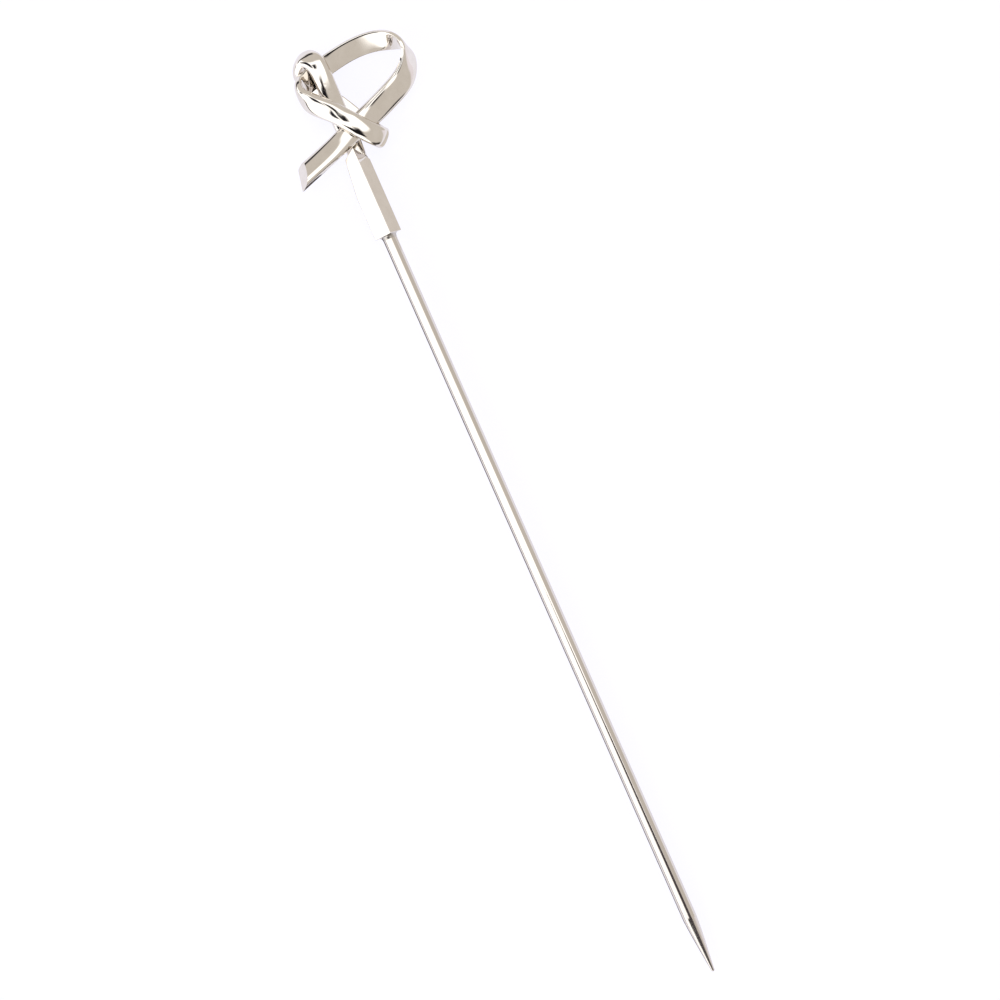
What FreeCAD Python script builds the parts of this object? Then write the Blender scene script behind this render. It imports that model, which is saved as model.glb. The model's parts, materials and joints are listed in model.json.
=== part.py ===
import FreeCAD, Part
import math
import os

os.makedirs("parts", exist_ok=True)
V = FreeCAD.Vector

# Knotted cocktail pick, millimetres. Everything is first laid out on the pin's own axis:
# X runs along the pin from the socket's mouth to the point, Z is up out of the knot's
# front, Y is across. At the end the whole pick is tipped a little so that it lies on Z = 0.

wire_r = 0.80
pin_tip_x = 88.10
taper_length = 6.40
tip_r = 0.16

socket_side = 2.22
socket_turn_deg = 34.6
socket_edge_r = 0.10
socket_ridge_x = -10.25
socket_ridge_z = 1.56
socket_cut_slope = 0.93
socket_flank_x = -5.10
socket_flank_in = 0.11
socket_flank_start = 0.03
socket_flank_reach = 3.0
mouth_chamfer = 0.12
wire_depth = 4.50
neck_r = 0.72
neck_tip_r = 0.66
neck_end_x = 0.45
bore_gap = 0.02
bore_extra = 0.05
blank_length = 13.0

strip_t = 1.00
crown_power = 2.6
crown_root = 0.10
edge_chamfer = 0.11
crown_steps = 12
sections_per_span = 3

spigot_w = 1.10
spigot_t = 0.60
spigot_x0 = -9.20
spigot_x1 = -6.20
spigot_y = 0.12
spigot_z = -0.12
spigot_turn_deg = 18.0

tail_cut_at = V(-11.25, -5.10, 1.10)
tail_cut_out = V(-0.38, -0.72, 0.585)
tail_zone_lo = V(-14.0, -12.0, -5.0)
tail_zone_hi = V(-4.0, -2.4, 5.0)
stem_zone_lo = V(-10.3, -1.05, -2.0)
stem_zone_hi = V(-4.0, 1.65, 0.60)

bead_w = 0.26
seam_grow = 0.10
seam_w = 0.16

rest_pitch_deg = 0.89
rest_roll_deg = 0.49
rest_mesh_tol = 0.008
cutter_size = 40.0
seam_strip_share = 0.09

# The strip's route: centre of the section, the way its rounded face looks, width, thickness.
stations = []


def station(x, y, z, look_x, look_y, look_z, width, thick=strip_t):
    stations.append([x, y, z, look_x, look_y, look_z, width, thick])


# stem, from inside the socket up to the first turn
station(-7.30, 0.15, -0.12, 0.00, -0.35, 1.00, 1.70, 0.90)
station(-9.10, 0.38, -0.38, 0.00, -0.20, 1.00, 1.95, 0.95)
station(-11.40, 0.40, -0.66, -0.05, 0.06, 1.00, 2.15)
station(-13.90, 0.38, -0.34, -0.10, 0.15, 1.00, 2.20)
station(-16.40, 0.41, 0.20, -0.10, 0.15, 1.00, 2.20)
station(-18.90, 0.42, 0.65, -0.10, 0.05, 1.00, 2.20)
station(-20.65, 0.12, 0.60, -0.55, -0.15, 1.00, 2.30)
# turn at the upper left, front to back
station(-21.45, -0.70, 0.00, -0.95, -0.40, 0.45, 2.30)
station(-21.05, -1.55, -0.82, -0.65, -0.80, -0.10, 2.30)
station(-19.90, -1.55, -1.64, -0.10, -0.45, -1.00, 2.25)
# back strand
station(-17.70, -0.64, -1.84, 0.00, 0.00, -1.00, 2.30)
station(-14.95, 0.97, -1.80, 0.00, 0.00, -1.00, 2.30)
station(-12.35, 2.34, -1.80, 0.10, 0.05, -1.00, 2.30)
# turn at the right, back to front
station(-10.40, 3.55, -0.95, 0.65, 0.65, -0.55, 2.40)
station(-10.00, 3.70, 0.38, 0.70, 0.65, 0.45, 2.40)
station(-10.95, 2.75, 1.32, 0.20, 0.20, 1.00, 2.35)
# front wrap
station(-12.80, 1.30, 1.62, 0.00, 0.00, 1.00, 2.25)
station(-14.45, -0.02, 1.42, 0.05, -0.05, 1.00, 2.25)
station(-15.95, -1.50, 1.00, -0.25, -0.85, 0.90, 2.30)
# turn at the left, front to back
station(-17.15, -2.36, 0.44, -0.30, -0.95, 0.22, 2.30)
station(-18.25, -2.52, 0.00, -0.40, -0.95, -0.25, 2.30)
station(-19.15, -1.42, -0.55, -0.45, -0.35, -1.00, 2.30)
# left arm of the loop
station(-19.85, 1.05, -0.71, -0.36, -0.08, -1.00, 2.30, 0.90)
station(-20.30, 4.00, -0.38, -0.42, -0.08, -1.00, 2.30, 0.82)
station(-20.20, 6.72, 0.00, -0.45, 0.05, -0.90, 2.40, 0.78)
station(-19.55, 8.68, 0.22, -0.55, 0.45, -0.65, 2.45, 0.78)
# far corner of the loop
station(-18.55, 9.72, 0.33, -0.30, 0.95, -0.15, 2.40, 0.78)
station(-17.30, 9.97, 0.33, 0.30, 0.90, 0.45, 2.40, 0.78)
station(-16.05, 9.48, 0.33, 0.60, 0.55, 0.80, 2.50, 0.78)
# right arm of the loop
station(-14.90, 8.33, 0.33, 0.50, 0.25, 1.00, 2.70, 0.82)
station(-13.95, 6.50, 0.33, 0.48, 0.20, 1.00, 2.75, 0.88)
station(-13.02, 4.12, 0.22, 0.38, 0.15, 1.00, 2.70, 0.94)
station(-12.20, 1.65, 0.47, 0.12, 0.05, 1.00, 2.50)
station(-11.30, -0.82, 0.80, -0.20, 0.00, 1.00, 2.40)
# tail
station(-10.45, -3.35, 1.04, -0.40, -0.10, 1.00, 2.50)
station(-9.05, -7.40, 1.34, -0.40, -0.10, 1.00, 2.50)


def route_params(rows):
    u = [0.0]
    for a, b in zip(rows, rows[1:]):
        d = math.sqrt((b[0] - a[0]) ** 2 + (b[1] - a[1]) ** 2 + (b[2] - a[2]) ** 2)
        u.append(u[-1] + math.sqrt(d))
    return u


def spline_bends(u, y):
    n = len(u)
    lo = [0.0] * n
    di = [1.0] * n
    hi = [0.0] * n
    r = [0.0] * n
    for i in range(1, n - 1):
        h0 = u[i] - u[i - 1]
        h1 = u[i + 1] - u[i]
        lo[i] = h0
        di[i] = 2.0 * (h0 + h1)
        hi[i] = h1
        r[i] = 6.0 * ((y[i + 1] - y[i]) / h1 - (y[i] - y[i - 1]) / h0)
    for i in range(1, n):
        m = lo[i] / di[i - 1]
        di[i] -= m * hi[i - 1]
        r[i] -= m * r[i - 1]
    out = [0.0] * n
    out[-1] = r[-1] / di[-1]
    for i in range(n - 2, -1, -1):
        out[i] = (r[i] - hi[i] * out[i + 1]) / di[i]
    return out


def spline_at(u, y, m, t):
    i = 0
    while i < len(u) - 2 and t > u[i + 1]:
        i += 1
    h = u[i + 1] - u[i]
    a = (u[i + 1] - t) / h
    b = (t - u[i]) / h
    val = a * y[i] + b * y[i + 1] + ((a ** 3 - a) * m[i] + (b ** 3 - b) * m[i + 1]) * h * h / 6.0
    slope = (y[i + 1] - y[i]) / h
    slope += ((1.0 - 3.0 * a * a) * m[i] + (3.0 * b * b - 1.0) * m[i + 1]) * h / 6.0
    return val, slope


def crown_points(half, top, root):
    pts = []
    for i in range(crown_steps + 1):
        th = math.pi * i / crown_steps
        c = math.cos(th)
        s = max(0.0, math.sin(th))
        p = math.copysign(abs(c) ** (2.0 / crown_power), c) * half
        pts.append((p, root + (top - root) * s ** (2.0 / crown_power)))
    pts[0] = (half, root)
    pts[-1] = (-half, root)
    return pts


# Every section shares one set of curve parameters, so that the loft stays light.
crown_params = [0.0]
model_points = crown_points(1.15, strip_t / 2, -crown_root * strip_t)
for a, b in zip(model_points, model_points[1:]):
    crown_params.append(crown_params[-1] + math.hypot(b[0] - a[0], b[1] - a[1]))


def section_wire(centre, across, out, width, thick, grow=0.0):
    half = width / 2.0 + grow
    top = thick / 2.0 + grow
    bottom = -thick / 2.0 - grow
    root = -crown_root * thick
    pts = [centre + across * p + out * q for p, q in crown_points(half, top, root)]
    crown = Part.BSplineCurve()
    crown.interpolate(Points=pts, Parameters=crown_params)
    ch = edge_chamfer
    low = [
        (-half, root),
        (-half, bottom + ch),
        (-half + ch, bottom),
        (half - ch, bottom),
        (half, bottom + ch),
        (half, root),
    ]
    ring = [centre + across * p + out * q for p, q in low]
    edges = [crown.toShape()]
    for a, b in zip(ring, ring[1:]):
        edges.append(Part.LineSegment(a, b).toShape())
    return Part.Wire(edges)


def strip_frames(per_span, u0=0.0, u1=1.0):
    u = route_params(stations)
    cols = [[row[c] for row in stations] for c in range(8)]
    bends = [spline_bends(u, col) for col in cols]
    frames = []
    count = per_span * (len(stations) - 1)
    for k in range(count + 1):
        f = u0 + (u1 - u0) * k / count
        t = u[-1] * f
        vals = [spline_at(u, cols[c], bends[c], t) for c in range(8)]
        centre = V(vals[0][0], vals[1][0], vals[2][0])
        along = V(vals[0][1], vals[1][1], vals[2][1])
        along.normalize()
        look = V(vals[3][0], vals[4][0], vals[5][0])
        look = look - along * look.dot(along)
        look.normalize()
        across = along.cross(look)
        frames.append((centre, along, across, look, vals[6][0], vals[7][0]))
    return frames


def loft_strip(frames, grow=0.0):
    wires = [section_wire(f[0], f[2], f[3], f[4], f[5], grow) for f in frames]
    return Part.makeLoft(wires, True, False, False)


def half_space(at, out, size=cutter_size):
    out = V(out)
    out.normalize()
    side = V(0, 0, 1).cross(out)
    if side.Length < 0.1:
        side = V(0, 1, 0)
    side.normalize()
    other = out.cross(side)
    c = [
        at + side * size + other * size,
        at - side * size + other * size,
        at - side * size - other * size,
        at + side * size - other * size,
    ]
    face = Part.Face(Part.makePolygon(c + [c[0]]))
    return face.extrude(out * size)


def zone(lo, hi):
    size = hi - lo
    return Part.makeBox(size.x, size.y, size.z, lo)


def biggest(shape):
    return max(shape.Solids, key=lambda s: s.Volume)


frames = strip_frames(sections_per_span)
strip = loft_strip(frames)
length = 0.0
for a, b in zip(frames, frames[1:]):
    length += (b[0] - a[0]).Length
print("strip length", round(length, 2), "volume", round(strip.Volume, 3), "valid", strip.isValid())

# The socket's head end is cut aslant: the edge that faces up reaches furthest into the knot.
cut_point = V(socket_ridge_x, 0.0, socket_ridge_z)
cut_normal = V(-1.0, 0.0, -socket_cut_slope)
head_side = half_space(cut_point, cut_normal)
mouth_side = half_space(cut_point, cut_normal * -1.0)

# Each end of the strip is cut in its own zone, so that the turns beside it stay whole.
tail_cutter = half_space(tail_cut_at, tail_cut_out).common(zone(tail_zone_lo, tail_zone_hi))
stem_cutter = mouth_side.common(zone(stem_zone_lo, stem_zone_hi))
strip = biggest(strip.cut(tail_cutter))
strip = biggest(strip.cut(stem_cutter))

turn = FreeCAD.Rotation(V(1, 0, 0), socket_turn_deg)
turned = FreeCAD.Placement(V(0, 0, 0), turn)

spigot = Part.makeBox(spigot_x1 - spigot_x0, spigot_w, spigot_t, V(spigot_x0, -spigot_w / 2, -spigot_t / 2))
spigot.Placement = FreeCAD.Placement(V(0, spigot_y, spigot_z), FreeCAD.Rotation(V(1, 0, 0), spigot_turn_deg))
knot_strip = strip.fuse(spigot).removeSplitter()
knot_strip = knot_strip.Solids[0]

# Square socket with rounded long edges, a wire bore in the mouth and a slot for the spigot.
def rounded_square(half, radius, x):
    c = half - radius
    k = radius * math.sqrt(0.5)
    edges = []
    for q in range(4):
        spin = FreeCAD.Rotation(V(1, 0, 0), 90.0 * q)
        p0 = spin.multVec(V(x, half, -c))
        p1 = spin.multVec(V(x, half, c))
        pm = spin.multVec(V(x, c + k, c + k))
        p2 = spin.multVec(V(x, c, half))
        edges.append(Part.LineSegment(p0, p1).toShape())
        edges.append(Part.Arc(p1, pm, p2).toShape())
    return Part.Wire(edges)


h = socket_side / 2.0
body = Part.Face(rounded_square(h, socket_edge_r, -mouth_chamfer)).extrude(V(-blank_length, 0, 0))
lead = Part.makeLoft([
    rounded_square(h, socket_edge_r, -mouth_chamfer),
    rounded_square(h - mouth_chamfer, socket_edge_r * 0.6, 0.0),
], True, True)
block = body.fuse(lead)
block.Placement = turned
block = block.cut(head_side)
corner_y = -h * math.sqrt(2.0) * math.sin(math.radians(socket_turn_deg + 45.0))
flank_y = corner_y + socket_flank_start
flank_far_y = flank_y + (blank_length + socket_flank_x) * socket_flank_in
flank_out_y = corner_y - socket_flank_reach
flank = Part.makePolygon([
    V(socket_flank_x, flank_y, -socket_flank_reach),
    V(-blank_length, flank_far_y, -socket_flank_reach),
    V(-blank_length, flank_out_y, -socket_flank_reach),
    V(socket_flank_x, flank_out_y, -socket_flank_reach),
    V(socket_flank_x, flank_y, -socket_flank_reach),
])
block = block.cut(Part.Face(flank).extrude(V(0, 0, 2 * socket_flank_reach)))
bore = Part.makeCone(
    neck_tip_r + bore_gap,
    neck_r + bore_gap,
    wire_depth + neck_end_x,
    V(-wire_depth - bore_extra, 0, 0),
    V(1, 0, 0),
)
slot = Part.makeBox(
    spigot_x1 - spigot_x0 + bore_extra,
    spigot_w + 2 * bore_gap,
    spigot_t + 2 * bore_gap,
    V(spigot_x0, -spigot_w / 2 - bore_gap, -spigot_t / 2 - bore_gap),
)
slot.Placement = spigot.Placement
ferrule = block.cut(bore).cut(slot).Solids[0]

# Wire pin, filed to a slight taper where it enters the socket, with a ground, bellied point.
tx = pin_tip_x - taper_length
shank_pts = [
    V(pin_tip_x, 0, 0),
    V(-wire_depth, 0, 0),
    V(-wire_depth, neck_tip_r, 0),
    V(neck_end_x, neck_r, 0),
    V(neck_end_x, wire_r, 0),
    V(tx, wire_r, 0),
]
end_r = tip_r * 0.5
round_x = pin_tip_x - 0.10
round_r = tip_r + 0.03
point_curve = Part.BSplineCurve()
point_curve.interpolate([
    V(tx, wire_r, 0),
    V(tx + 0.35 * taper_length, wire_r * 0.78, 0),
    V(tx + 0.70 * taper_length, wire_r * 0.48, 0),
    V(round_x, round_r, 0),
])
edges = []
for a, b in zip(shank_pts, shank_pts[1:]):
    edges.append(Part.LineSegment(a, b).toShape())
edges.append(point_curve.toShape())
edges.append(Part.LineSegment(V(round_x, round_r, 0), V(pin_tip_x, end_r, 0)).toShape())
edges.append(Part.LineSegment(V(pin_tip_x, end_r, 0), V(pin_tip_x, 0, 0)).toShape())
pin = Part.Face(Part.Wire(edges)).revolve(V(0, 0, 0), V(1, 0, 0), 360)
if pin.ShapeType != "Solid":
    pin = pin.Solids[0]

# Solder: a small fillet round the wire at the mouth, and a bead along the strip's joint.
neck_mouth_r = neck_tip_r + (neck_r - neck_tip_r) * wire_depth / (wire_depth + neck_end_x)
fillet_pts = [
    V(0, neck_mouth_r, 0),
    V(0, wire_r + bead_w, 0),
    V(0.08, wire_r + bead_w * 0.50, 0),
    V(0.20, wire_r + bead_w * 0.18, 0),
    V(neck_end_x, wire_r, 0),
    V(neck_end_x, neck_r, 0),
    V(0, neck_mouth_r, 0),
]
lower_solder = Part.Face(Part.makePolygon(fillet_pts)).revolve(V(0, 0, 0), V(1, 0, 0), 360)
if lower_solder.ShapeType != "Solid":
    lower_solder = lower_solder.Solids[0]

near = []
for f in strip_frames(sections_per_span, 0.0, seam_strip_share)[::6]:
    near.append(f)
fat = loft_strip(near, seam_grow)
thin = half_space(cut_point + V(-seam_w, 0, 0), cut_normal)
bead = fat.cut(mouth_side).cut(thin).cut(strip)
upper_solder = biggest(bead)

pieces = {
    "knot_strip": knot_strip,
    "ferrule": ferrule,
    "pin": pin,
    "lower_solder": lower_solder,
    "upper_solder": upper_solder,
}
# Tip the pick onto its lowest points and centre its outline over the origin.
tip_pitch = FreeCAD.Placement(V(0, 0, 0), FreeCAD.Rotation(V(0, 1, 0), rest_pitch_deg))
tip_roll = FreeCAD.Placement(V(0, 0, 0), FreeCAD.Rotation(V(1, 0, 0), rest_roll_deg))
tip_over = tip_pitch.multiply(tip_roll)
seen = []
for shape in pieces.values():
    for p in shape.tessellate(rest_mesh_tol)[0]:
        seen.append(tip_over.multVec(p))
shift_x = -(min(p.x for p in seen) + max(p.x for p in seen)) / 2.0
shift_y = -(min(p.y for p in seen) + max(p.y for p in seen)) / 2.0
lift = -min(p.z for p in seen)
print("rest shift", round(shift_x, 4), round(shift_y, 4), round(lift, 4))
move = FreeCAD.Placement(V(shift_x, shift_y, lift), FreeCAD.Rotation()).multiply(tip_over).toMatrix()
for name, shape in pieces.items():
    shape.transformShape(move, True)
    box = shape.BoundBox
    print(name, shape.ShapeType, shape.isValid(), round(shape.Volume, 4), len(shape.Faces))
    print("   x", round(box.XMin, 3), round(box.XMax, 3), "y", round(box.YMin, 3), round(box.YMax, 3))
    print("   z", round(box.ZMin, 3), round(box.ZMax, 3))
    shape.exportStep("parts/" + name + ".step")
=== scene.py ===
import json
import math
import bpy
import bmesh
import numpy as np
from mathutils import Matrix, Vector


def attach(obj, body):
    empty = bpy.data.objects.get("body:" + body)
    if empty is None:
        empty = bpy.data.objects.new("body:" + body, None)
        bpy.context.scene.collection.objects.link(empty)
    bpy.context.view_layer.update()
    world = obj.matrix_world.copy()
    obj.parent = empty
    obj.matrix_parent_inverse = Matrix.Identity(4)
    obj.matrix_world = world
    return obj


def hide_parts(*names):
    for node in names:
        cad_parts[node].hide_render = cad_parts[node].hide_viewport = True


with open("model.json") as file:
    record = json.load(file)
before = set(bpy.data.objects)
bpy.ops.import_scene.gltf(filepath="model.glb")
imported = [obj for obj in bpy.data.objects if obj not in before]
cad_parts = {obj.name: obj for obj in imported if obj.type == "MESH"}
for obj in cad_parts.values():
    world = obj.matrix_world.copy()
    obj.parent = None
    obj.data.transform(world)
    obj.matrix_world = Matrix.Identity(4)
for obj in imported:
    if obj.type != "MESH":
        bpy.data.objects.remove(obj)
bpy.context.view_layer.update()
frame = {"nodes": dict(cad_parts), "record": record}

scene = bpy.context.scene
mm = 0.001
print("frame loaded:", ", ".join(sorted(frame["nodes"])))

# The pick is laid out on its own axis, X down the wire and Z up out of the knot's front,
# then tipped the way it rests and moved to where the shank's mount is.
lay = {"pitch": 0.89, "roll": 0.49, "shankMiddle": 41.075}
shankMount = frame["record"]["mounts"][0]
restPitch = Matrix.Rotation(math.radians(lay["pitch"]), 4, "Y")
restTurn = restPitch @ Matrix.Rotation(math.radians(lay["roll"]), 4, "X")
restShift = Vector(shankMount["pos_m"]) - restTurn @ Vector((lay["shankMiddle"] * mm, 0, 0))
toRest = Matrix.Translation(restShift) @ restTurn
# how near a cutting plane counts as touching a corner, in metres
planeTouch = 1e-8


def addNode(tree, kind, inputs=None, **settings):
    node = tree.nodes.new(kind)
    for name, value in settings.items():
        setattr(node, name, value)
    for key, value in (inputs or {}).items():
        if isinstance(value, bpy.types.NodeSocket):
            tree.links.new(value, node.inputs[key])
        else:
            node.inputs[key].default_value = value
    return node


def mathIn(tree):
    def calc(operation, *values):
        return addNode(tree, "ShaderNodeMath", dict(enumerate(values)), operation=operation).outputs[0]
    return calc


def linearColour(hexText):
    out = []
    for i in (0, 2, 4):
        c = int(hexText[i + 1:i + 3], 16) / 255
        out.append(c / 12.92 if c <= 0.04045 else ((c + 0.055) / 1.055) ** 2.4)
    return (*out, 1.0)


def pickPoint(tree):
    # the pick's own axes in millimetres, from Object coordinates
    coords = addNode(tree, "ShaderNodeTexCoord")
    return addNode(tree, "ShaderNodeMapping", {
        "Vector": coords.outputs["Object"],
        "Location": restShift,
        "Rotation": restTurn.to_euler("XYZ"),
        "Scale": (mm, mm, mm),
    }, vector_type="TEXTURE").outputs["Vector"]


def newMetal(name, baseHex, roughness):
    material = bpy.data.materials.new(name)
    material.use_nodes = True
    tree = material.node_tree
    shader = tree.nodes["Principled BSDF"]
    shader.inputs["Metallic"].default_value = 1.0
    shader.inputs["Base Color"].default_value = linearColour(baseHex)
    shader.inputs["Roughness"].default_value = roughness
    return material, tree, shader


# Cast stainless steel, hand polished: a mirror with a faint warm cast, hazier in the patches
# that the mop reached less, and with the last fine grit of the polish in it.
castSteel = {"base": "#ece7e0", "dull": "#d9d2c9", "roughness": (0.035, 0.10), "haze": 1.3,
             "hazeSpan": (0.35, 0.75), "grit": 0.16, "gritHeight": 0.0006}


def castSteelMaterial(name):
    material, tree, shader = newMetal(name, castSteel["base"], castSteel["roughness"][0])
    point = pickPoint(tree)
    haze = addNode(tree, "ShaderNodeTexNoise", {"Vector": point, "Scale": 1 / castSteel["haze"],
                                                "Detail": 4.0, "Roughness": 0.6})
    tone = addNode(tree, "ShaderNodeMix", {0: haze.outputs["Fac"], 6: linearColour(castSteel["base"]),
                                           7: linearColour(castSteel["dull"])}, data_type="RGBA")
    tree.links.new(tone.outputs[2], shader.inputs["Base Color"])
    spread = addNode(tree, "ShaderNodeMapRange", {"Value": haze.outputs["Fac"],
                                                  "From Min": castSteel["hazeSpan"][0],
                                                  "From Max": castSteel["hazeSpan"][1],
                                                  "To Min": castSteel["roughness"][0],
                                                  "To Max": castSteel["roughness"][1]})
    tree.links.new(spread.outputs["Result"], shader.inputs["Roughness"])
    grit = addNode(tree, "ShaderNodeTexNoise", {"Vector": point, "Scale": 1 / castSteel["grit"],
                                                "Detail": 2.0})
    fine = addNode(tree, "ShaderNodeBump", {"Height": grit.outputs["Fac"], "Strength": 1.0,
                                            "Distance": castSteel["gritHeight"] * mm})
    tree.links.new(fine.outputs["Normal"], shader.inputs["Normal"])
    return material


# Drawn stainless wire, polished along its length: hair-fine draw lines, and rings where the
# point was ground.
drawnWire = {"base": "#e6e0d9", "line": "#cfc8c0", "roughness": (0.09, 0.20), "lineWidth": 0.07,
             "lineLength": 14.0, "lineHeight": 0.0012, "ringGap": 0.22, "ringAcross": 0.6,
             "ringHeight": 0.004, "pointFrom": 81.0, "pointFull": 82.6}


def drawnWireMaterial(name):
    material, tree, shader = newMetal(name, drawnWire["base"], drawnWire["roughness"][0])
    point = pickPoint(tree)
    lineScale = (1 / drawnWire["lineLength"], 1 / drawnWire["lineWidth"], 1 / drawnWire["lineWidth"])
    stretched = addNode(tree, "ShaderNodeMapping", {"Vector": point, "Scale": lineScale})
    lines = addNode(tree, "ShaderNodeTexNoise", {"Vector": stretched.outputs["Vector"], "Scale": 1.0,
                                                 "Detail": 3.0})
    ringScale = (1 / drawnWire["ringGap"], drawnWire["ringAcross"], drawnWire["ringAcross"])
    squeezed = addNode(tree, "ShaderNodeMapping", {"Vector": point, "Scale": ringScale})
    rings = addNode(tree, "ShaderNodeTexNoise", {"Vector": squeezed.outputs["Vector"], "Scale": 1.0,
                                                 "Detail": 3.0})
    axes = addNode(tree, "ShaderNodeSeparateXYZ", {"Vector": point})
    onPoint = addNode(tree, "ShaderNodeMapRange", {"Value": axes.outputs["X"],
                                                   "From Min": drawnWire["pointFrom"],
                                                   "From Max": drawnWire["pointFull"]})
    tone = addNode(tree, "ShaderNodeMix", {0: lines.outputs["Fac"], 6: linearColour(drawnWire["base"]),
                                           7: linearColour(drawnWire["line"])}, data_type="RGBA")
    tree.links.new(tone.outputs[2], shader.inputs["Base Color"])
    rough = addNode(tree, "ShaderNodeMapRange", {"Value": onPoint.outputs["Result"],
                                                 "To Min": drawnWire["roughness"][0],
                                                 "To Max": drawnWire["roughness"][1]})
    tree.links.new(rough.outputs["Result"], shader.inputs["Roughness"])
    along = addNode(tree, "ShaderNodeBump", {"Height": lines.outputs["Fac"], "Strength": 1.0,
                                             "Distance": drawnWire["lineHeight"] * mm})
    around = addNode(tree, "ShaderNodeBump", {"Height": rings.outputs["Fac"],
                                              "Strength": onPoint.outputs["Result"],
                                              "Distance": drawnWire["ringHeight"] * mm,
                                              "Normal": along.outputs["Normal"]})
    tree.links.new(around.outputs["Normal"], shader.inputs["Normal"])
    return material


# Silver solder, left as it froze: satin, lumpy, a little darker than the steel beside it.
silverSolder = {"base": "#d6d1cb", "dull": "#aaa49d", "roughness": 0.22, "lump": 0.45, "lumpHeight": 0.006}


def silverSolderMaterial(name):
    material, tree, shader = newMetal(name, silverSolder["base"], silverSolder["roughness"])
    point = pickPoint(tree)
    lumps = addNode(tree, "ShaderNodeTexNoise", {"Vector": point, "Scale": 1 / silverSolder["lump"],
                                                 "Detail": 3.0})
    tone = addNode(tree, "ShaderNodeMix", {0: lumps.outputs["Fac"], 6: linearColour(silverSolder["dull"]),
                                           7: linearColour(silverSolder["base"])}, data_type="RGBA")
    tree.links.new(tone.outputs[2], shader.inputs["Base Color"])
    bump = addNode(tree, "ShaderNodeBump", {"Height": lumps.outputs["Fac"], "Strength": 1.0,
                                            "Distance": silverSolder["lumpHeight"] * mm})
    tree.links.new(bump.outputs["Normal"], shader.inputs["Normal"])
    return material


knotSteel = castSteelMaterial("polishedCastSteel")
socketSteel = castSteelMaterial("polishedSquareSteel")
wireSteel = drawnWireMaterial("drawnStainlessWire")
solderMetal = silverSolderMaterial("silverSolder")
print("materials made")


# The sweep is a Geometry Nodes tree that lays a rounded section along a route. Its front and
# back bulge by their own powers, and the crown's root is where the two halves of it meet.
sweepFine = {"mergeGap": 0.0005, "pitFloor": 0.08, "pitRim": 0.30, "pitFade": 0.7}
sweepInputs = {"Around": 96, "Crown Power": 2.6, "Back Power": 9.0, "Crown Root": 0.10,
               "Waver Height": 0.0, "Waver Size": 2.4, "Pit Depth": 0.0, "Pit Size": 0.5,
               "Pit Centre": (0.0, 0.0, 0.0), "Pit Reach": 1.0, "Seed": 3}


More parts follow.
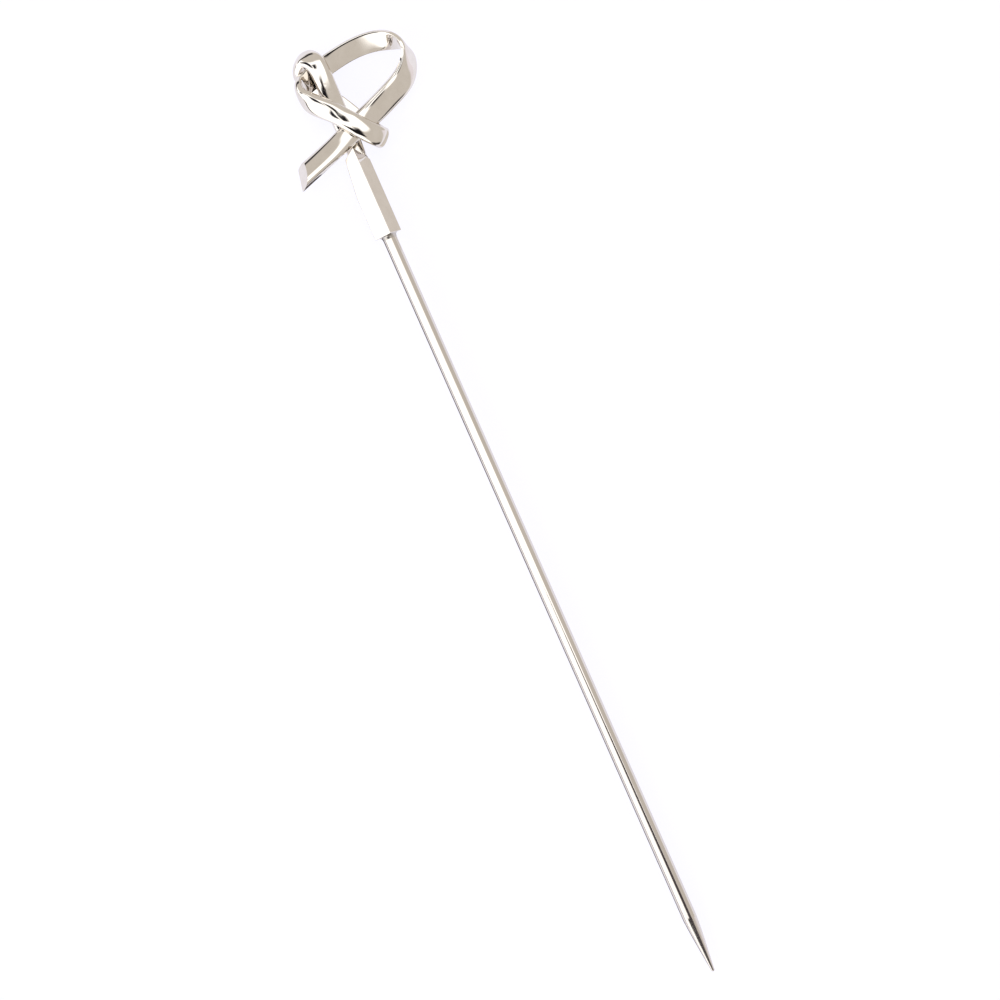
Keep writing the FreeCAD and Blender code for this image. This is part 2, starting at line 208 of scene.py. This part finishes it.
def sweepTree():
    tree = bpy.data.node_groups.new("sweepSection", "GeometryNodeTree")
    face = tree.interface
    face.new_socket("Route", in_out="INPUT", socket_type="NodeSocketGeometry")
    kinds = {int: "NodeSocketInt", float: "NodeSocketFloat", tuple: "NodeSocketVector"}
    for name, value in sweepInputs.items():
        face.new_socket(name, in_out="INPUT", socket_type=kinds[type(value)]).default_value = value
    face.new_socket("Finish", in_out="INPUT", socket_type="NodeSocketMaterial")
    face.new_socket("Piece", in_out="OUTPUT", socket_type="NodeSocketGeometry")
    given = addNode(tree, "NodeGroupInput").outputs

    calc = mathIn(tree)

    def vectorCalc(operation, *values):
        keys = {0: values[0], 3: values[1]} if operation == "SCALE" else dict(enumerate(values))
        return addNode(tree, "ShaderNodeVectorMath", keys, operation=operation).outputs[0]

    size = addNode(tree, "GeometryNodeAttributeDomainSize", {"Geometry": given["Route"]}, component="MESH")
    rows = size.outputs["Point Count"]
    columns = calc("ADD", given["Around"], 1.0)
    grid = addNode(tree, "GeometryNodeMeshGrid", {"Size X": 1.0, "Size Y": 1.0, "Vertices X": rows,
                                                  "Vertices Y": columns})
    place = addNode(tree, "GeometryNodeInputPosition").outputs[0]
    spot = addNode(tree, "ShaderNodeSeparateXYZ", {0: place})
    row = calc("ROUND", calc("MULTIPLY", calc("ADD", spot.outputs["X"], 0.5),
                             calc("SUBTRACT", rows, 1.0)))
    turn = calc("MULTIPLY", calc("ADD", spot.outputs["Y"], 0.5), math.tau)

    def routeValue(kind, value):
        return addNode(tree, "GeometryNodeSampleIndex",
                       {"Geometry": given["Route"], "Value": value, "Index": row},
                       data_type=kind, domain="POINT").outputs[0]

    def named(kind, name):
        return addNode(tree, "GeometryNodeInputNamedAttribute", {"Name": name},
                       data_type=kind).outputs[0]

    centre = routeValue("FLOAT_VECTOR", place)
    along = routeValue("FLOAT_VECTOR", named("FLOAT_VECTOR", "along"))
    look = routeValue("FLOAT_VECTOR", named("FLOAT_VECTOR", "look"))
    width = routeValue("FLOAT", named("FLOAT", "width"))
    thick = routeValue("FLOAT", named("FLOAT", "thick"))
    across = vectorCalc("CROSS_PRODUCT", along, look)
    c = calc("COSINE", turn)
    s = calc("SINE", turn)
    front = calc("GREATER_THAN", s, 0.0)
    power = addNode(tree, "ShaderNodeMix", {0: front, 2: given["Back Power"], 3: given["Crown Power"]},
                    data_type="FLOAT").outputs[0]
    bend = calc("DIVIDE", 2.0, power)
    out = calc("MULTIPLY", calc("SIGN", c), calc("POWER", calc("ABSOLUTE", c), bend))
    sideways = calc("MULTIPLY", out, calc("MULTIPLY", width, 0.5))
    rise = calc("MULTIPLY", calc("SIGN", s), calc("POWER", calc("ABSOLUTE", s), bend))
    frontHeight = calc("ADD", given["Crown Root"], 0.5)
    backHeight = calc("SUBTRACT", 0.5, given["Crown Root"])
    height = addNode(tree, "ShaderNodeMix", {0: front, 2: backHeight, 3: frontHeight},
                     data_type="FLOAT").outputs[0]
    upward = calc("MULTIPLY", thick, calc("SUBTRACT", calc("MULTIPLY", rise, height),
                                          given["Crown Root"]))
    here = vectorCalc("ADD", centre, vectorCalc("ADD", vectorCalc("SCALE", across, sideways),
                                                vectorCalc("SCALE", look, upward)))
    swept = addNode(tree, "GeometryNodeSetPosition", {"Geometry": grid.outputs["Mesh"],
                                                      "Position": here})
    closed = addNode(tree, "GeometryNodeMergeByDistance", {"Geometry": swept.outputs[0],
                                                           "Distance": sweepFine["mergeGap"] * mm})

    # the polisher's waver, and casting pits inside one small patch
    inMillimetres = vectorCalc("SCALE", place, 1 / mm)
    seedStep = addNode(tree, "ShaderNodeCombineXYZ", {2: given["Seed"]}).outputs[0]
    seeded = vectorCalc("ADD", inMillimetres, seedStep)
    waver = addNode(tree, "ShaderNodeTexNoise", {"Vector": seeded, "Detail": 1.0,
                                                 "Scale": calc("DIVIDE", 1.0, given["Waver Size"])})
    waverOut = calc("MULTIPLY", calc("SUBTRACT", waver.outputs["Fac"], 0.5),
                    calc("MULTIPLY", given["Waver Height"], 2 * mm))
    cells = addNode(tree, "ShaderNodeTexVoronoi", {"Vector": seeded,
                                                   "Scale": calc("DIVIDE", 1.0, given["Pit Size"])},
                    feature="F1").outputs["Distance"]
    dimple = addNode(tree, "ShaderNodeMapRange", {"Value": cells, "From Min": sweepFine["pitFloor"],
                                                  "From Max": sweepFine["pitRim"], "To Min": 1.0,
                                                  "To Max": 0.0},
                     interpolation_type="SMOOTHSTEP").outputs[0]
    away = vectorCalc("SUBTRACT", inMillimetres, given["Pit Centre"])
    gap = addNode(tree, "ShaderNodeVectorMath", {0: away}, operation="LENGTH").outputs["Value"]
    fadeFrom = calc("MULTIPLY", given["Pit Reach"], sweepFine["pitFade"])
    patch = addNode(tree, "ShaderNodeMapRange", {"Value": gap, "From Min": fadeFrom,
                                                 "From Max": given["Pit Reach"], "To Min": 1.0,
                                                 "To Max": 0.0},
                    interpolation_type="SMOOTHSTEP").outputs[0]
    pitIn = calc("MULTIPLY", calc("MULTIPLY", dimple, patch), calc("MULTIPLY", given["Pit Depth"], mm))
    normal = addNode(tree, "GeometryNodeInputNormal").outputs[0]
    moved = addNode(tree, "GeometryNodeSetPosition", {
        "Geometry": closed.outputs[0],
        "Offset": vectorCalc("SCALE", normal, calc("SUBTRACT", waverOut, pitIn)),
    })
    smooth = addNode(tree, "GeometryNodeSetShadeSmooth", {"Geometry": moved.outputs[0]})
    whole = addNode(tree, "GeometryNodeRealizeInstances", {"Geometry": smooth.outputs[0]})
    dressed = addNode(tree, "GeometryNodeSetMaterial", {"Geometry": whole.outputs[0],
                                                        "Material": given["Finish"]})
    addNode(tree, "NodeGroupOutput", {0: dressed.outputs[0]})
    return tree


sweepSection = sweepTree()


def sweepPiece(name, rows, finish, values):
    # rows: centre, along, look, width, thick, all in the pick's own axes and millimetres
    route = bpy.data.meshes.new(name + "Route")
    turn3 = restTurn.to_3x3()
    points = [toRest @ (Vector(r[0]) * mm) for r in rows]
    route.from_pydata(points, [(i, i + 1) for i in range(len(points) - 1)], [])
    for key, column in (("along", 1), ("look", 2)):
        data = route.attributes.new(key, "FLOAT_VECTOR", "POINT")
        data.data.foreach_set("vector", [c for r in rows for c in turn3 @ Vector(r[column])])
    for key, column in (("width", 3), ("thick", 4)):
        data = route.attributes.new(key, "FLOAT", "POINT")
        data.data.foreach_set("value", [r[column] * mm for r in rows])
    source = bpy.data.objects.new(name + "Source", route)
    scene.collection.objects.link(source)
    modifier = source.modifiers.new("sweep", "NODES")
    modifier.node_group = sweepSection
    for item in sweepSection.interface.items_tree:
        if item.in_out == "INPUT" and item.name in values:
            modifier[item.identifier] = values[item.name]
        if item.in_out == "INPUT" and item.name == "Finish":
            modifier[item.identifier] = finish
    bpy.context.view_layer.update()
    graph = bpy.context.evaluated_depsgraph_get()
    mesh = bpy.data.meshes.new_from_object(source.evaluated_get(graph), depsgraph=graph)
    source.modifiers.clear()
    bpy.data.objects.remove(source)
    for key in ("along", "look", "width", "thick"):
        if key in mesh.attributes:
            mesh.attributes.remove(mesh.attributes[key])
    mesh.name = name
    piece = bpy.data.objects.new(name, mesh)
    scene.collection.objects.link(piece)
    return piece


def inOrder(items):
    # each item once, first seen first, so that the mesh is the same in every run
    return list(dict.fromkeys(items))


def cutAway(work, at, out, zone, rim):
    # cuts the mesh with a plane inside a zone, drops the side that out points to, caps the cut
    at = toRest @ (Vector(at) * mm)
    out = (restTurn.to_3x3() @ Vector(out)).normalized()
    fromRest = toRest.inverted()
    faces = []
    for f in work.faces:
        p = fromRest @ f.calc_center_median() / mm
        if all(zone[0][i] < p[i] < zone[1][i] for i in range(3)):
            faces.append(f)
    geom = inOrder(v for f in faces for v in f.verts) + inOrder(e for f in faces for e in f.edges)
    geom += faces
    cut = bmesh.ops.bisect_plane(work, geom=geom, dist=planeTouch, plane_co=at, plane_no=out,
                                 clear_outer=True)
    edges = [e for e in cut["geom_cut"] if isinstance(e, bmesh.types.BMEdge)]
    caps = bmesh.ops.holes_fill(work, edges=edges, sides=0)["faces"]
    for f in caps:
        f.smooth = False
    rims = inOrder(e for f in caps for e in f.edges)
    if rim:
        done = bmesh.ops.bevel(work, geom=rims, offset=rim * mm, segments=3, profile=0.5,
                               affect="EDGES", clamp_overlap=True)
        for f in done["faces"]:
            f.smooth = True
    else:
        for e in rims:
            e.smooth = False


def finishMesh(piece, work, finish):
    bmesh.ops.recalc_face_normals(work, faces=work.faces[:])
    if work.calc_volume(signed=True) < 0:
        bmesh.ops.reverse_faces(work, faces=work.faces[:])
    work.to_mesh(piece.data)
    work.free()
    piece.data.materials.clear()
    piece.data.materials.append(finish)


# The knotted strip, one length of it from the socket round the knot to the slant-cut tail.
strip = {
    "steps": 620, "around": 92, "thick": 1.00, "crownPower": 2.6, "backPower": 9.0, "crownRoot": 0.10,
    "waverHeight": 0.006, "waverSize": 2.4,
    "pitDepth": 0.014, "pitSize": 0.36, "pitCentre": (-17.2, 0.2, 0.8), "pitReach": 0.75,
    "socketCutAt": (-10.25, 0.0, 1.56), "socketCutOut": (1.0, 0.0, 0.93),
    "tailCutAt": (-11.25, -5.10, 1.10), "tailCutOut": (-0.38, -0.72, 0.585), "tailRim": 0.10,
    "tailZone": ((-14.0, -12.0, -5.0), (-4.0, -2.4, 5.0)),
    "stemZone": ((-10.3, -1.05, -2.0), (-4.0, 1.65, 0.60)),
}
# centre of the section, the way its rounded face looks, width, thickness
stem = [
    (-7.30, 0.15, -0.12, 0.00, -0.35, 1.00, 1.70, 0.90),
    (-9.10, 0.38, -0.38, 0.00, -0.20, 1.00, 1.95, 0.95),
    (-11.40, 0.40, -0.66, -0.05, 0.06, 1.00, 2.15),
    (-13.90, 0.38, -0.34, -0.10, 0.15, 1.00, 2.20),
    (-16.40, 0.41, 0.20, -0.10, 0.15, 1.00, 2.20),
    (-18.90, 0.42, 0.65, -0.10, 0.05, 1.00, 2.20),
    (-20.65, 0.12, 0.60, -0.55, -0.15, 1.00, 2.30),
]
upperLeftTurn = [
    (-21.45, -0.70, 0.00, -0.95, -0.40, 0.45, 2.30),
    (-21.05, -1.55, -0.82, -0.65, -0.80, -0.10, 2.30),
    (-19.90, -1.55, -1.64, -0.10, -0.45, -1.00, 2.25),
]
backStrand = [
    (-17.70, -0.64, -1.84, 0.00, 0.00, -1.00, 2.30),
    (-14.95, 0.97, -1.80, 0.00, 0.00, -1.00, 2.30),
    (-12.35, 2.34, -1.80, 0.10, 0.05, -1.00, 2.30),
]
rightTurn = [
    (-10.40, 3.55, -0.95, 0.65, 0.65, -0.55, 2.40),
    (-10.00, 3.70, 0.38, 0.70, 0.65, 0.45, 2.40),
    (-10.95, 2.75, 1.32, 0.20, 0.20, 1.00, 2.35),
]
frontWrap = [
    (-12.80, 1.30, 1.62, 0.00, 0.00, 1.00, 2.25),
    (-14.45, -0.02, 1.42, 0.05, -0.05, 1.00, 2.25),
    (-15.95, -1.50, 1.00, -0.25, -0.85, 0.90, 2.30),
]
leftTurn = [
    (-17.15, -2.36, 0.44, -0.30, -0.95, 0.22, 2.30),
    (-18.25, -2.52, 0.00, -0.40, -0.95, -0.25, 2.30),
    (-19.15, -1.42, -0.55, -0.45, -0.35, -1.00, 2.30),
]
loopLeftArm = [
    (-19.85, 1.05, -0.71, -0.36, -0.08, -1.00, 2.30, 0.90),
    (-20.30, 4.00, -0.38, -0.42, -0.08, -1.00, 2.30, 0.82),
    (-20.20, 6.72, 0.00, -0.45, 0.05, -0.90, 2.40, 0.78),
    (-19.55, 8.68, 0.22, -0.55, 0.45, -0.65, 2.45, 0.78),
]
loopCorner = [
    (-18.55, 9.72, 0.33, -0.30, 0.95, -0.15, 2.40, 0.78),
    (-17.30, 9.97, 0.33, 0.30, 0.90, 0.45, 2.40, 0.78),
    (-16.05, 9.48, 0.33, 0.60, 0.55, 0.80, 2.50, 0.78),
]
loopRightArm = [
    (-14.90, 8.33, 0.33, 0.50, 0.25, 1.00, 2.70, 0.82),
    (-13.95, 6.50, 0.33, 0.48, 0.20, 1.00, 2.75, 0.88),
    (-13.02, 4.12, 0.22, 0.38, 0.15, 1.00, 2.70, 0.94),
    (-12.20, 1.65, 0.47, 0.12, 0.05, 1.00, 2.50),
    (-11.30, -0.82, 0.80, -0.20, 0.00, 1.00, 2.40),
]
tail = [
    (-10.45, -3.35, 1.04, -0.40, -0.10, 1.00, 2.50),
    (-9.05, -7.40, 1.34, -0.40, -0.10, 1.00, 2.50),
]


def naturalSpline(u, values, at):
    # a smooth curve through every station, straight at its two ends
    n = len(u)
    h = np.diff(u)
    system = np.eye(n)
    right = np.zeros((n, values.shape[1]))
    for i in range(1, n - 1):
        system[i, i - 1:i + 2] = (h[i - 1], 2 * (h[i - 1] + h[i]), h[i])
        right[i] = 6 * ((values[i + 1] - values[i]) / h[i] - (values[i] - values[i - 1]) / h[i - 1])
    bends = np.linalg.solve(system, right)
    k = np.clip(np.searchsorted(u, at) - 1, 0, n - 2)
    w = h[k][:, None]
    a = ((u[k + 1] - at) / h[k])[:, None]
    b = 1 - a
    curve = a * values[k] + b * values[k + 1]
    curve += ((a ** 3 - a) * bends[k] + (b ** 3 - b) * bends[k + 1]) * w * w / 6
    slope = (values[k + 1] - values[k]) / w
    slope += ((1 - 3 * a * a) * bends[k] + (3 * b * b - 1) * bends[k + 1]) * w / 6
    return curve, slope


def stripRows():
    runs = (stem, upperLeftTurn, backStrand, rightTurn, frontWrap, leftTurn, loopLeftArm, loopCorner,
            loopRightArm, tail)
    # a station without a thickness of its own has the strip's
    stations = np.array([(*s, strip["thick"])[:8] for run in runs for s in run])
    gaps = np.linalg.norm(np.diff(stations[:, :3], axis=0), axis=1)
    u = np.concatenate(([0.0], np.cumsum(np.sqrt(gaps))))
    curve, slope = naturalSpline(u, stations, np.linspace(0, u[-1], strip["steps"]))
    rows = []
    for values, rates in zip(curve, slope):
        along = Vector(rates[:3]).normalized()
        look = Vector(values[3:6])
        look = (look - along * look.dot(along)).normalized()
        rows.append((tuple(values[:3]), along, look, float(values[6]), float(values[7])))
    return rows


pitPlace = toRest @ (Vector(strip["pitCentre"]) * mm) / mm
knot = sweepPiece("knotStrip", stripRows(), knotSteel, {
    "Around": strip["around"], "Crown Power": strip["crownPower"], "Back Power": strip["backPower"],
    "Crown Root": strip["crownRoot"], "Waver Height": strip["waverHeight"],
    "Waver Size": strip["waverSize"], "Pit Depth": strip["pitDepth"], "Pit Size": strip["pitSize"],
    "Pit Centre": tuple(pitPlace), "Pit Reach": strip["pitReach"],
})
work = bmesh.new()
work.from_mesh(knot.data)
# the cut with the rounded rim comes last: a cut after it would leave the faces in another order
# in each run
cutAway(work, strip["socketCutAt"], strip["socketCutOut"], strip["stemZone"], 0)
cutAway(work, strip["tailCutAt"], strip["tailCutOut"], strip["tailZone"], strip["tailRim"])
finishMesh(knot, work, knotSteel)
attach(knot, "root")
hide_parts("knot_strip")
print("knot made:", len(knot.data.polygons), "faces")


# The square socket: a turned square bar, cut to a sloping head and one leaning flank. Faces
# smaller than smallFace, in square metres, belong to the rounded edges.
socket = {"side": 2.22, "turn": 34.6, "length": 13.0, "headAt": (-10.25, 0.0, 1.56),
          "headOut": (-1.0, 0.0, -0.93), "flankFrom": -5.10, "flankIn": 0.11, "flankStart": 0.03,
          "edgeRound": 0.09, "edgeSteps": 4, "edgeProfile": 0.6, "smallFace": 1.5e-7}


def makeSocket():
    work = bmesh.new()
    half = socket["side"] / 2
    turn = Matrix.Rotation(math.radians(socket["turn"]), 4, "X")
    corners = [turn @ Vector((0, y * half, z * half)) for y, z in ((-1, -1), (1, -1), (1, 1), (-1, 1))]
    near = [work.verts.new(toRest @ (c * mm)) for c in corners]
    far = [work.verts.new(toRest @ ((c - Vector((socket["length"], 0, 0))) * mm)) for c in corners]
    work.faces.new(near)
    work.faces.new(far[::-1])
    for i in range(4):
        j = (i + 1) % 4
        work.faces.new((near[j], near[i], far[i], far[j]))
    cornerY = -half * math.sqrt(2) * math.sin(math.radians(socket["turn"] + 45)) + socket["flankStart"]
    cuts = ((socket["headAt"], socket["headOut"]),
            ((socket["flankFrom"], cornerY, 0.0), (-socket["flankIn"], -1.0, 0.0)))
    for at, out in cuts:
        geom = work.verts[:] + work.edges[:] + work.faces[:]
        cut = bmesh.ops.bisect_plane(work, geom=geom, dist=planeTouch,
                                     plane_co=toRest @ (Vector(at) * mm),
                                     plane_no=restTurn.to_3x3() @ Vector(out).normalized(),
                                     clear_outer=True)
        edges = [e for e in cut["geom_cut"] if isinstance(e, bmesh.types.BMEdge)]
        bmesh.ops.holes_fill(work, edges=edges, sides=0)
    bmesh.ops.bevel(work, geom=work.edges[:], offset=socket["edgeRound"] * mm,
                    segments=socket["edgeSteps"], profile=socket["edgeProfile"],
                    affect="EDGES", clamp_overlap=True)
    for f in work.faces:
        f.smooth = f.calc_area() < socket["smallFace"]
    mesh = bpy.data.meshes.new("squareSocket")
    piece = bpy.data.objects.new("squareSocket", mesh)
    scene.collection.objects.link(piece)
    finishMesh(piece, work, socketSteel)
    return piece


squareSocket = makeSocket()
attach(squareSocket, "root")
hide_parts("ferrule")
print("socket made:", len(squareSocket.data.polygons), "faces")


# The wire pin. pointShape gives the bellied point: share of its length, share of the radius.
wire = {"radius": 0.80, "start": -4.50, "tip": 88.10, "taper": 6.40, "shankSteps": 440,
        "pointSteps": 120, "around": 64, "power": 2.0, "neckTo": 0.0, "neckRadius": 0.70,
        "pointShape": ((0.0, 1.0), (0.35, 0.78), (0.70, 0.48), (0.984, 0.2375)), "endRadius": 0.08,
        "waverHeight": 0.004, "waverSize": 5.0}


def wireRadius(x):
    pointFrom = wire["tip"] - wire["taper"]
    if x < wire["neckTo"]:
        return wire["neckRadius"]
    if x <= pointFrom:
        return wire["radius"]
    share = (x - pointFrom) / wire["taper"]
    shape = np.array(wire["pointShape"])
    if share > shape[-1, 0]:
        return float(np.interp(share, (shape[-1, 0], 1.0),
                               (wire["radius"] * shape[-1, 1], wire["endRadius"])))
    curve, slope = naturalSpline(shape[:, 0], shape[:, 1:], np.array([share]))
    return wire["radius"] * float(curve[0, 0])


shankSteps = np.linspace(wire["start"], wire["tip"] - wire["taper"], wire["shankSteps"])
pointShares = np.linspace(0, 1, wire["pointSteps"] + 1)[1:]
pointSteps = wire["tip"] - wire["taper"] * (1 - pointShares)
wireRows = [((x, 0, 0), Vector((1, 0, 0)), Vector((0, 0, 1)), 2 * wireRadius(x), 2 * wireRadius(x))
            for x in map(float, np.concatenate((shankSteps, pointSteps)))]
pin = sweepPiece("wirePin", wireRows, wireSteel, {
    "Around": wire["around"], "Crown Power": wire["power"], "Back Power": wire["power"],
    "Crown Root": 0.0, "Waver Height": wire["waverHeight"], "Waver Size": wire["waverSize"],
})
work = bmesh.new()
work.from_mesh(pin.data)
ends = [e for e in work.edges if e.is_boundary]
bmesh.ops.holes_fill(work, edges=ends, sides=0)
finishMesh(pin, work, wireSteel)
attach(pin, "root")
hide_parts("pin")
print("pin made:", len(pin.data.polygons), "faces")

for nodeName in ("upper_solder", "lower_solder"):
    frame["nodes"][nodeName].data.materials.clear()
    frame["nodes"][nodeName].data.materials.append(solderMetal)
print("solder finished")


# The table is opal glass, lit from below.
table = {"half": 0.6, "colour": "#6f6e6f", "roughness": 0.9, "glow": 0.86,
         "glowColour": (1.0, 1.0, 1.12, 1.0)}
work = bmesh.new()
bmesh.ops.create_grid(work, x_segments=1, y_segments=1, size=table["half"])
floorMesh = bpy.data.meshes.new("table")
work.to_mesh(floorMesh)
work.free()
floor = bpy.data.objects.new("table", floorMesh)
scene.collection.objects.link(floor)
paper = bpy.data.materials.new("opalLightTable")
paper.use_nodes = True
paperShader = paper.node_tree.nodes["Principled BSDF"]
paperShader.inputs["Base Color"].default_value = linearColour(table["colour"])
paperShader.inputs["Roughness"].default_value = table["roughness"]
paperShader.inputs["Emission Color"].default_value = table["glowColour"]
paperShader.inputs["Emission Strength"].default_value = table["glow"]
floor.data.materials.append(paper)

# The studio: a pale grey tent with white and dark panels, placed for the streaks they give the
# polished metal. Each panel is given by its tilt from straight overhead, in degrees, towards the
# pick's point (x) and towards the loop (y), or by that tilt (polar) and its swing from the knot's
# end (0) towards the side away from the loop (90). Soft is how gradual its edges are, in degrees.
tent = {"colour": "#dcd6cf"}
panels = [
    {"name": "overhead", "x": (-28, 13), "y": (-30, 23), "soft": 4,
     "level": 1.7, "colour": "#ffffff"},
    {"name": "softbox", "x": (-62, 80), "y": (-84, -20), "soft": 5,
     "level": 1.7, "colour": "#ffffff"},
    {"name": "gap", "x": (-70, 60), "y": (-93, -84), "soft": 2,
     "level": 1.0, "colour": "#4a4646"},
    {"name": "camera", "x": (5, 19), "y": (-12, 3), "soft": 4,
     "level": 1.0, "colour": "#4c4746"},
    {"name": "photographer", "x": (11, 34), "y": (-40, -2), "soft": 2,
     "level": 1.0, "colour": "#1d1b20"},
    {"name": "lensHood", "x": (-18, -7), "y": (-14, -3), "soft": 2,
     "level": 1.0, "colour": "#262429"},
    {"name": "flag", "x": (-30, -9), "y": (-45, -18), "soft": 2,
     "level": 1.0, "colour": "#262530"},
    {"name": "farWall", "x": (17, 75), "y": (62, 96), "soft": 5,
     "level": 1.15, "colour": "#efeaf2"},
    {"name": "darkCurtain", "polar": (70, 85), "swing": (-8, 66), "soft": 4,
     "level": 1.0, "colour": "#262530"},
    {"name": "darkDoor", "x": (68, 92), "y": (-28, 45), "soft": 5,
     "level": 1.0, "colour": "#4a4644"},
]


def makeTent():
    world = bpy.data.worlds.new("studioTent")
    scene.world = world
    world.use_nodes = True
    tree = world.node_tree
    tree.nodes.clear()
    coords = addNode(tree, "ShaderNodeTexCoord")
    axes = addNode(tree, "ShaderNodeSeparateXYZ", {0: coords.outputs["Generated"]})

    calc = mathIn(tree)
    polar = calc("DEGREES", calc("ARCCOSINE", axes.outputs["Z"]))
    flat = calc("SQRT", calc("ADD", calc("MULTIPLY", axes.outputs["X"], axes.outputs["X"]),
                             calc("MULTIPLY", axes.outputs["Y"], axes.outputs["Y"])))
    share = calc("DIVIDE", polar, calc("MAXIMUM", flat, 0.0001))
    swing = calc("DEGREES", calc("ARCTAN2", calc("MULTIPLY", axes.outputs["Y"], -1.0),
                                 calc("MULTIPLY", axes.outputs["X"], -1.0)))
    tilts = {"x": calc("MULTIPLY", axes.outputs["X"], share),
             "y": calc("MULTIPLY", axes.outputs["Y"], share), "polar": polar, "swing": swing}
    colour = linearColour(tent["colour"])
    for panel in panels:
        mask = 1.0
        soft = panel["soft"]
        for key in [k for k in tilts if k in panel]:
            for edge, start, end in ((panel[key][0], 0.0, 1.0), (panel[key][1], 1.0, 0.0)):
                side = addNode(tree, "ShaderNodeMapRange",
                               {"Value": tilts[key], "From Min": edge - soft, "From Max": edge + soft,
                                "To Min": start, "To Max": end}, interpolation_type="SMOOTHSTEP")
                mask = calc("MULTIPLY", mask, side.outputs[0])
        bright = (*(c * panel["level"] for c in linearColour(panel["colour"])[:3]), 1.0)
        colour = addNode(tree, "ShaderNodeMix", {0: mask, 6: colour, 7: bright},
                         data_type="RGBA").outputs[2]
    lit = addNode(tree, "ShaderNodeBackground", {"Color": colour, "Strength": 1.0})
    plain = addNode(tree, "ShaderNodeBackground", {"Color": (1, 1, 1, 1), "Strength": 1.0})
    path = addNode(tree, "ShaderNodeLightPath")
    seen = addNode(tree, "ShaderNodeMixShader", {0: path.outputs["Is Camera Ray"], 1: lit.outputs[0],
                                                 2: plain.outputs[0]})
    addNode(tree, "ShaderNodeOutputWorld", {"Surface": seen.outputs[0]})


# Cards only seen in the pick's reflections. Two lie on the table and are painted shade: a grey one
# for the table's shade on the loop's side of the socket, and a dark wedge for the pick's shade close
# along the other side, like the shade under a rail. The third is a dark flag that hangs over the
# wire's end and darkens a line along it.
cards = [
    # painted shade: a grey sheet for the table's shade on the loop's side, seen only in reflections
    {"name": "paintedShadeGreyCard", "lift": 0.05, "colour": "#e3ddd8",
     "outline": ((-9.6, 4.0), (1.5, 4.0), (1.5, 12.5), (-9.6, 12.5))},
    # painted shade: a dark wedge for the pick's shade on the table, seen only in reflections
    {"name": "paintedShadeWedgeCard", "lift": 0.05, "colour": "#5d5857",
     "outline": ((-9.0, -5.6), (88.0, -1.7), (88.0, -0.95), (-9.0, -2.3))},
    {"name": "tipFlag", "lift": 30.0, "colour": "#4f494c",
     "outline": ((44.0, -1.2), (112.0, -2.6), (112.0, 25.0), (88.0, 15.0), (44.0, 0.6))},
]


def makeCard(card):
    corners = []
    for x, y in card["outline"]:
        p = toRest @ (Vector((x, y, 0)) * mm)
        corners.append((p.x, p.y, card["lift"] * mm))
    mesh = bpy.data.meshes.new(card["name"])
    mesh.from_pydata(corners, [], [tuple(range(len(corners)))])
    sheet = bpy.data.objects.new(card["name"], mesh)
    scene.collection.objects.link(sheet)
    material = bpy.data.materials.new("mat" + card["name"])
    material.use_nodes = True
    shader = material.node_tree.nodes["Principled BSDF"]
    shader.inputs["Base Color"].default_value = (0, 0, 0, 1)
    shader.inputs["Specular IOR Level"].default_value = 0.0
    shader.inputs["Emission Color"].default_value = linearColour(card["colour"])
    shader.inputs["Emission Strength"].default_value = 1.0
    mesh.materials.append(material)
    sheet.visible_camera = False
    sheet.visible_diffuse = False
    sheet.visible_shadow = False


for card in cards:
    makeCard(card)
makeTent()
scene.view_settings.view_transform = "Standard"

# The camera looks straight down on the knot's front, turned so that the wire runs to the lower
# right.
view = {"lens": 120.0, "sensor": 36.0, "distance": 365.0, "over": (31.45, -0.54),
        "right": (0.404, 0.915)}
cameraData = bpy.data.cameras.new("camera")
cameraData.lens = view["lens"]
cameraData.sensor_width = view["sensor"]
camera = bpy.data.objects.new("camera", cameraData)
scene.collection.objects.link(camera)
rightward = Vector((*view["right"], 0)).normalized()
upward = Vector((0, 0, 1)).cross(rightward)
aim = Matrix((rightward, upward, (0, 0, 1))).transposed().to_4x4()
aim.translation = Vector((*view["over"], view["distance"])) * mm
camera.matrix_world = toRest @ aim
scene.camera = camera
print("table, light and camera set")
